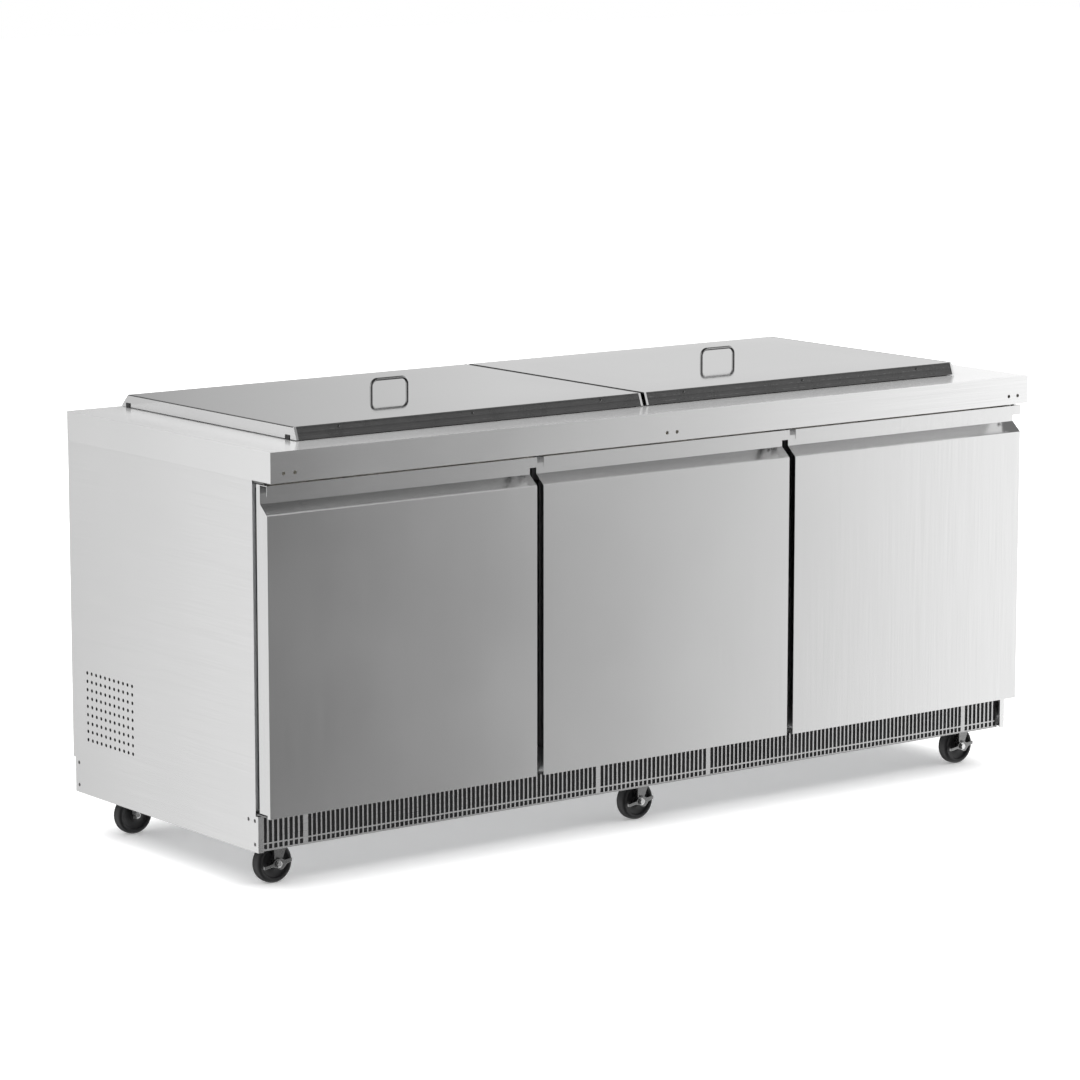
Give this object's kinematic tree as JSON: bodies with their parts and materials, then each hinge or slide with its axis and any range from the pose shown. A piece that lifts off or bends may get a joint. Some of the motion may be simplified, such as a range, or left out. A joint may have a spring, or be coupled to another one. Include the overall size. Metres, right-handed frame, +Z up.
{
  "type": "sandwich prep table",
  "caption": "Low refrigerated sandwich prep table with hinged doors, flat insulated lids over a pan well, slotted plinth grille and swivel casters",
  "frame": {"origin": "on the floor, under the middle of the table's bounding box", "axes": "+X along the worktop to the right as seen from the doors, +Y from the doors to the back, +Z up"},
  "size_m": [1.829, 0.698, 0.871],
  "materials": {
    "stainless_top": "brushed",
    "stainless_body": "satin",
    "stainless_door": "brushed, vertical grain",
    "stainless_lid": "bright satin",
    "galvanised_sheet": "galvanised, dull spangle",
    "grille_steel": "satin",
    "foam": "rigid foam",
    "inner_aluminium": "satin",
    "door_inner": "satin liner over foam",
    "lid_inner": "satin liner over foam",
    "gasket_rubber": "soft matte",
    "foot_rubber": "matte",
    "handle_wire": "polished",
    "shelf_wire": "epoxy coated",
    "screw_steel": "zinc plated",
    "caster_steel": "satin grey",
    "wheel_rubber": "matte",
    "condenser_fins": "bare fins",
    "black_motor": "satin",
    "fan_plastic": "moulded",
    "compressor_black": "gloss",
    "copper_tube": "bare copper",
    "lid_trim": "satin dark grey",
    "filter_foam": "open-cell foam",
    "black_plastic": "moulded"
  },
  "bodies": {
    "cabinet": {"back_panel": "galvanised_sheet", "base_tray": "galvanised_sheet", "caster_plates": "caster_steel", "compressor": "compressor_black", "condenser_coil": "condenser_fins", "condenser_fan_motor": "black_motor", "evaporator_coil": "inner_aluminium", "evaporator_cover": "inner_aluminium", "front_grille": "grille_steel", "grille_filter": "filter_foam", "hinge_brackets": "screw_steel", "insulation": "foam", "liner": "inner_aluminium", "mullions": "stainless_body", "pan_adapter_bars": "stainless_top", "pan_well_collar": "stainless_top", "plinth_skirts": "stainless_body", "power_inlet_gland": "black_plastic", "refrigerant_line": "copper_tube", "shelf_posts": "inner_aluminium", "shelves": "shelf_wire", "side_panel_left": "stainless_body", "side_panel_right": "stainless_body", "worktop": "stainless_top"},
    "door_left": {"door_left_shell": "stainless_door", "door_left_core": "door_inner", "door_left_gasket": "gasket_rubber"},
    "door_middle": {"door_middle_shell": "stainless_door", "door_middle_core": "door_inner", "door_middle_gasket": "gasket_rubber"},
    "door_right": {"door_right_shell": "stainless_door", "door_right_core": "door_inner", "door_right_gasket": "gasket_rubber"},
    "lid_left": {"lid_left_shell": "stainless_lid", "lid_left_core": "lid_inner", "lid_left_handle": "handle_wire", "lid_left_feet": "foot_rubber", "lid_left_front_trim": "lid_trim"},
    "lid_right": {"lid_right_shell": "stainless_lid", "lid_right_core": "lid_inner", "lid_right_handle": "handle_wire", "lid_right_feet": "foot_rubber", "lid_right_front_trim": "lid_trim"},
    "swivel_front_left": {"caster_front_left_fork": "caster_steel"},
    "wheel_front_left": {"caster_front_left_wheel": "wheel_rubber"},
    "brake_front_left": {"caster_front_left_brake": "caster_steel"},
    "swivel_front_middle": {"caster_front_middle_fork": "caster_steel"},
    "wheel_front_middle": {"caster_front_middle_wheel": "wheel_rubber"},
    "brake_front_middle": {"caster_front_middle_brake": "caster_steel"},
    "swivel_front_right": {"caster_front_right_fork": "caster_steel"},
    "wheel_front_right": {"caster_front_right_wheel": "wheel_rubber"},
    "brake_front_right": {"caster_front_right_brake": "caster_steel"},
    "swivel_rear_left": {"caster_rear_left_fork": "caster_steel"},
    "wheel_rear_left": {"caster_rear_left_wheel": "wheel_rubber"},
    "swivel_rear_middle": {"caster_rear_middle_fork": "caster_steel"},
    "wheel_rear_middle": {"caster_rear_middle_wheel": "wheel_rubber"},
    "swivel_rear_right": {"caster_rear_right_fork": "caster_steel"},
    "wheel_rear_right": {"caster_rear_right_wheel": "wheel_rubber"},
    "condenser_fan": {"condenser_fan": "fan_plastic"},
    "evaporator_fan": {"evaporator_fan": "fan_plastic"}
  },
  "joints": [
    {"name": "door_left_hinge", "type": "hinge", "parent": "cabinet", "child": "door_left", "pos_m": [-0.9046, -0.315, 0.45], "axis": [0, 0, -1], "range_deg": [0, 90]},
    {"name": "door_middle_hinge", "type": "hinge", "parent": "cabinet", "child": "door_middle", "pos_m": [0.29187, -0.315, 0.45], "axis": [0, 0, 1], "range_deg": [0, 90]},
    {"name": "door_right_hinge", "type": "hinge", "parent": "cabinet", "child": "door_right", "pos_m": [0.9046, -0.315, 0.45], "axis": [0, 0, 1], "range_deg": [0, 90]},
    {"name": "lid_left_hinge", "type": "hinge", "parent": "cabinet", "child": "lid_left", "pos_m": [-0.401, 0.345, 0.8141], "axis": [-1, 0, 0], "range_deg": [0, 95]},
    {"name": "lid_right_hinge", "type": "hinge", "parent": "cabinet", "child": "lid_right", "pos_m": [0.401, 0.345, 0.8141], "axis": [-1, 0, 0], "range_deg": [0, 95]},
    {"name": "caster_front_left_swivel", "type": "hinge", "parent": "cabinet", "child": "swivel_front_left", "pos_m": [-0.8275, -0.229, 0.089], "axis": [0, 0, 1], "continuous": true},
    {"name": "caster_front_left_roll", "type": "hinge", "parent": "swivel_front_left", "child": "wheel_front_left", "pos_m": [-0.8415, -0.229, 0.038], "axis": [0, 1, 0], "continuous": true},
    {"name": "caster_front_left_brake", "type": "hinge", "parent": "swivel_front_left", "child": "brake_front_left", "pos_m": [-0.8415, -0.2477, 0.038], "axis": [0, 1, 0], "range_deg": [0, 18]},
    {"name": "caster_front_middle_swivel", "type": "hinge", "parent": "cabinet", "child": "swivel_front_middle", "pos_m": [0.014, -0.229, 0.089], "axis": [0, 0, 1], "continuous": true},
    {"name": "caster_front_middle_roll", "type": "hinge", "parent": "swivel_front_middle", "child": "wheel_front_middle", "pos_m": [0, -0.229, 0.038], "axis": [0, 1, 0], "continuous": true},
    {"name": "caster_front_middle_brake", "type": "hinge", "parent": "swivel_front_middle", "child": "brake_front_middle", "pos_m": [0, -0.2477, 0.038], "axis": [0, 1, 0], "range_deg": [0, 18]},
    {"name": "caster_front_right_swivel", "type": "hinge", "parent": "cabinet", "child": "swivel_front_right", "pos_m": [0.8555, -0.229, 0.089], "axis": [0, 0, 1], "continuous": true},
    {"name": "caster_front_right_roll", "type": "hinge", "parent": "swivel_front_right", "child": "wheel_front_right", "pos_m": [0.8415, -0.229, 0.038], "axis": [0, 1, 0], "continuous": true},
    {"name": "caster_front_right_brake", "type": "hinge", "parent": "swivel_front_right", "child": "brake_front_right", "pos_m": [0.8415, -0.2477, 0.038], "axis": [0, 1, 0], "range_deg": [0, 18]},
    {"name": "caster_rear_left_swivel", "type": "hinge", "parent": "cabinet", "child": "swivel_rear_left", "pos_m": [-0.8275, 0.254, 0.089], "axis": [0, 0, 1], "continuous": true},
    {"name": "caster_rear_left_roll", "type": "hinge", "parent": "swivel_rear_left", "child": "wheel_rear_left", "pos_m": [-0.8415, 0.254, 0.038], "axis": [0, 1, 0], "continuous": true},
    {"name": "caster_rear_middle_swivel", "type": "hinge", "parent": "cabinet", "child": "swivel_rear_middle", "pos_m": [0.014, 0.254, 0.089], "axis": [0, 0, 1], "continuous": true},
    {"name": "caster_rear_middle_roll", "type": "hinge", "parent": "swivel_rear_middle", "child": "wheel_rear_middle", "pos_m": [0, 0.254, 0.038], "axis": [0, 1, 0], "continuous": true},
    {"name": "caster_rear_right_swivel", "type": "hinge", "parent": "cabinet", "child": "swivel_rear_right", "pos_m": [0.8555, 0.254, 0.089], "axis": [0, 0, 1], "continuous": true},
    {"name": "caster_rear_right_roll", "type": "hinge", "parent": "swivel_rear_right", "child": "wheel_rear_right", "pos_m": [0.8415, 0.254, 0.038], "axis": [0, 1, 0], "continuous": true},
    {"name": "condenser_fan_spin", "type": "hinge", "parent": "cabinet", "child": "condenser_fan", "pos_m": [-0.833, 0.223, 0.2066], "axis": [1, 0, 0], "continuous": true},
    {"name": "evaporator_fan_spin", "type": "hinge", "parent": "cabinet", "child": "evaporator_fan", "pos_m": [0, 0.218, 0.625], "axis": [0, 1, 0], "continuous": true}
  ]
}
